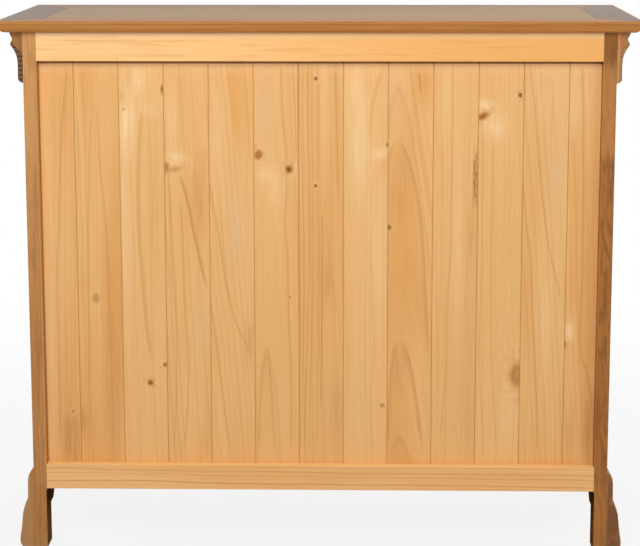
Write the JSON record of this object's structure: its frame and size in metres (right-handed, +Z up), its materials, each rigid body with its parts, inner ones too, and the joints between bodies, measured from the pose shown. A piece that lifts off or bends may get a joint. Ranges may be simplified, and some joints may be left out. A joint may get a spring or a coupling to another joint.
{
  "type": "chest of drawers",
  "caption": "Wooden chest of drawers with a moulded framed top, corbels, shaped legs, sliding dovetailed drawers with turned knobs and a matchboard back.",
  "frame": {"origin": "on the floor, under the middle of the top", "axes": "+Z up, the drawers face -Y and slide out along -Y, X runs across the width"},
  "size_m": [1.22, 0.5, 1.042],
  "materials": {
    "hardwood": "satin, medium brown hardwood",
    "panel_wood": "satin, paler greyed hardwood panel",
    "pine": "clear-finished knotty pine"
  },
  "bodies": {
    "carcass": {"top_panel": "panel_wood", "top_frame_back": "hardwood", "top_frame_front": "hardwood", "top_frame_left": "hardwood", "top_frame_right": "hardwood", "leg_post_front_left": "hardwood", "leg_post_front_right": "hardwood", "leg_post_rear_left": "hardwood", "leg_post_rear_right": "hardwood", "corbel_front_left": "hardwood", "corbel_front_right": "hardwood", "corbel_rear_left": "hardwood", "corbel_rear_right": "hardwood", "side_panel_left": "hardwood", "side_panel_right": "hardwood", "back_rail_top": "pine", "back_rail_bottom": "pine", "back_board_01": "pine", "back_board_02": "pine", "back_board_03": "pine", "back_board_04": "pine", "back_board_05": "pine", "back_board_06": "pine", "back_board_07": "pine", "back_board_08": "pine", "back_board_09": "pine", "back_board_10": "pine", "back_board_11": "pine", "back_board_12": "pine", "back_board_13": "pine", "drawer_frame_top": "hardwood", "drawer_frame_upper": "hardwood", "drawer_frame_middle": "hardwood", "drawer_frame_lower": "hardwood", "drawer_frame_bottom": "hardwood", "muntin": "hardwood", "front_apron": "hardwood"},
    "drawer_top_left": {"drawer_top_left_front": "hardwood", "drawer_top_left_box": "pine", "drawer_top_left_bottom": "pine", "drawer_top_left_knob": "hardwood"},
    "drawer_top_right": {"drawer_top_right_front": "hardwood", "drawer_top_right_box": "pine", "drawer_top_right_bottom": "pine", "drawer_top_right_knob": "hardwood"},
    "drawer_upper": {"drawer_upper_front": "hardwood", "drawer_upper_box": "pine", "drawer_upper_bottom": "pine", "drawer_upper_knob_left": "hardwood", "drawer_upper_knob_right": "hardwood"},
    "drawer_middle": {"drawer_middle_front": "hardwood", "drawer_middle_box": "pine", "drawer_middle_bottom": "pine", "drawer_middle_knob_left": "hardwood", "drawer_middle_knob_right": "hardwood"},
    "drawer_lower": {"drawer_lower_front": "hardwood", "drawer_lower_box": "pine", "drawer_lower_bottom": "pine", "drawer_lower_knob_left": "hardwood", "drawer_lower_knob_right": "hardwood"}
  },
  "joints": [
    {"name": "drawer_top_left_slide", "type": "slide", "parent": "carcass", "child": "drawer_top_left", "axis": [0, -1, 0], "range_m": [0, 0.3]},
    {"name": "drawer_top_right_slide", "type": "slide", "parent": "carcass", "child": "drawer_top_right", "axis": [0, -1, 0], "range_m": [0, 0.3]},
    {"name": "drawer_upper_slide", "type": "slide", "parent": "carcass", "child": "drawer_upper", "axis": [0, -1, 0], "range_m": [0, 0.3]},
    {"name": "drawer_middle_slide", "type": "slide", "parent": "carcass", "child": "drawer_middle", "axis": [0, -1, 0], "range_m": [0, 0.3]},
    {"name": "drawer_lower_slide", "type": "slide", "parent": "carcass", "child": "drawer_lower", "axis": [0, -1, 0], "range_m": [0, 0.3]}
  ]
}
